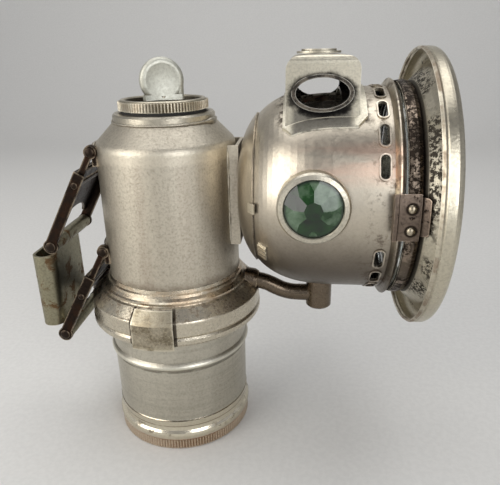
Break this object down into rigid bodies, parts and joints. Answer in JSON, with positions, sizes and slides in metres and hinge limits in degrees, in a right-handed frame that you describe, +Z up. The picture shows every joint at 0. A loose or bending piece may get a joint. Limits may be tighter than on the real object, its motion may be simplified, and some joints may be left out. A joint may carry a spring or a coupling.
{
  "type": "carbide bicycle lamp",
  "caption": "Carbide bicycle lamp: water tank over a carbide container, round vented head with side jewels and a chimney hood, and a parallel-link rear bracket.",
  "frame": {"origin": "centre of the base cap's flat foot, on the table", "axes": "+Z up along the axis of tank and container, +X the way the lamp shines, +Y the lamp's left side (red jewel, door hinge)"},
  "size_m": [0.131, 0.0854, 0.132],
  "materials": {
    "nickel_tank": "worn nickel plate over brass, tarnished",
    "nickel_collar": "worn nickel plate over brass, spotted",
    "nickel_cup": "satin nickel plate over brass",
    "nickel_base": "bright nickel plate over brass, worn on the edges",
    "nickel_head": "nickel plate over brass, pitted, with a copper tint",
    "nickel_hood": "nickel plate over brass, soot-stained",
    "nickel_bezel": "nickel plate over brass, pitted cone and bright rim",
    "nickel_bright": "bright satin nickel plate",
    "copper_brown": "plate worn down to pinkish brown metal",
    "brown_pipe": "dark brown tarnish",
    "bare_brass": "dull bare brass",
    "bracket_steel": "dark worn finish with bright edges",
    "socket_steel": "nickel plate over steel with rust stains",
    "inner_steel": "dark grey",
    "reflector_silver": "dulled silver plate",
    "burner_ceramic": "unglazed",
    "seal_rubber": "matte",
    "filter_wool": "felt",
    "clear_glass": "clear",
    "green_glass": "deep green, faceted",
    "red_glass": "deep red, faceted"
  },
  "bodies": {
    "generator": {"water_tank": "nickel_tank", "filler_neck": "nickel_tank", "joint_collar": "nickel_collar", "collar_clip": "nickel_collar", "drip_tube": "bare_brass", "filter_plate": "bare_brass", "filter_felt": "filter_wool", "seal_ring": "seal_rubber", "gas_union": "nickel_collar", "gas_pipe": "brown_pipe", "burner_socket": "brown_pipe", "burner_tube": "bare_brass", "burner_tip": "burner_ceramic", "head_bracket": "nickel_collar", "bracket_rivets": "bare_brass", "lamp_body": "nickel_head", "back_cap": "nickel_head", "back_cap_tabs": "nickel_head", "reflector": "reflector_silver", "chimney_hood": "nickel_hood", "hood_saddle": "nickel_hood", "port_rings": "nickel_hood", "hood_badge": "nickel_hood", "near_jewel_bezel": "nickel_bezel", "far_jewel_bezel": "nickel_bezel", "green_jewel": "green_glass", "red_jewel": "red_glass", "upper_lug": "bracket_steel", "lower_lug": "bracket_steel", "lug_rivets": "bare_brass", "body_hinge_leaf": "copper_brown", "door_hinge_pin": "bare_brass", "carbide_spring": "inner_steel"},
    "cap_seal": {"cap_gasket": "seal_rubber"},
    "filler_cap": {"filler_cap": "nickel_bright", "gland_nut": "bare_brass"},
    "needle": {"needle_valve": "bare_brass"},
    "regulator": {"regulator_stem": "bare_brass", "thumb_piece": "nickel_bright"},
    "front_door": {"front_bezel": "nickel_bezel", "front_glass": "clear_glass", "glass_ring": "inner_steel", "catch_plate": "copper_brown", "catch_spring": "copper_brown", "catch_rivets": "bare_brass", "door_hinge_leaf": "copper_brown"},
    "container": {"carbide_cup": "nickel_cup"},
    "base_seal": {"base_gasket": "seal_rubber"},
    "base_cap": {"base_cap": "nickel_base"},
    "pressing_plate": {"carbide_plate": "inner_steel"},
    "upper_link": {"upper_channel": "bracket_steel", "upper_yoke": "bracket_steel", "upper_link_rivets": "bare_brass"},
    "lower_link": {"lower_channel": "bracket_steel", "lower_yoke": "bracket_steel", "lower_link_rivets": "bare_brass"},
    "socket": {"bracket_socket": "socket_steel", "socket_pins": "bare_brass", "socket_stud": "bare_brass"}
  },
  "joints": [
    {"name": "filler_cap_lift", "type": "slide", "parent": "generator", "child": "cap_seal", "axis": [0, 0, 1], "range_m": [0, 0.06]},
    {"name": "filler_cap_turn", "type": "hinge", "parent": "cap_seal", "child": "filler_cap", "pos_m": [0, 0, 0.116], "axis": [0, 0, 1], "range_deg": [0, 720]},
    {"name": "needle_rise", "type": "slide", "parent": "filler_cap", "child": "needle", "axis": [0, 0, 1], "range_m": [0, 0.001]},
    {"name": "regulator_turn", "type": "hinge", "parent": "needle", "child": "regulator", "pos_m": [0, 0, 0.119], "axis": [0, 0, 1], "range_deg": [0, 365]},
    {"name": "door_hinge", "type": "hinge", "parent": "generator", "child": "front_door", "pos_m": [0.07, 0.036, 0.0893], "axis": [0, 0, 1], "range_deg": [0, 110]},
    {"name": "container_drop", "type": "slide", "parent": "generator", "child": "container", "axis": [0, 0, -1], "range_m": [0, 0.035]},
    {"name": "base_cap_drop", "type": "slide", "parent": "container", "child": "base_seal", "axis": [0, 0, -1], "range_m": [0, 0.0092]},
    {"name": "base_cap_turn", "type": "hinge", "parent": "base_seal", "child": "base_cap", "pos_m": [0, 0, 0.006], "axis": [0, 0, -1], "range_deg": [0, 1080]},
    {"name": "carbide_plate_slide", "type": "slide", "parent": "generator", "child": "pressing_plate", "axis": [0, 0, 1], "range_m": [0, 0.01], "stiffness_N_per_m": 200, "springref_m": -0.005, "deforming": ["carbide_spring"]},
    {"name": "upper_link_swing", "type": "hinge", "parent": "generator", "child": "upper_link", "pos_m": [-0.0206, 0, 0.1033], "axis": [0, 1, 0], "range_deg": [0, 70]},
    {"name": "socket_swing", "type": "hinge", "parent": "upper_link", "child": "socket", "pos_m": [-0.03761, 0, 0.07248], "axis": [0, 1, 0], "range_deg": [-70, 0]},
    {"name": "lower_link_swing", "type": "hinge", "parent": "generator", "child": "lower_link", "pos_m": [-0.0206, 0, 0.0705], "axis": [0, 1, 0], "range_deg": [0, 70]}
  ],
  "couplings": [
    {"joint": "regulator_turn", "follows": "needle_rise", "rad_per_m": 6283.2},
    {"joint": "base_cap_drop", "follows": "base_cap_turn", "m_per_rad": 0.00047746},
    {"joint": "socket_swing", "follows": "upper_link_swing", "ratio": -1},
    {"joint": "lower_link_swing", "follows": "upper_link_swing", "ratio": 1}
  ]
}
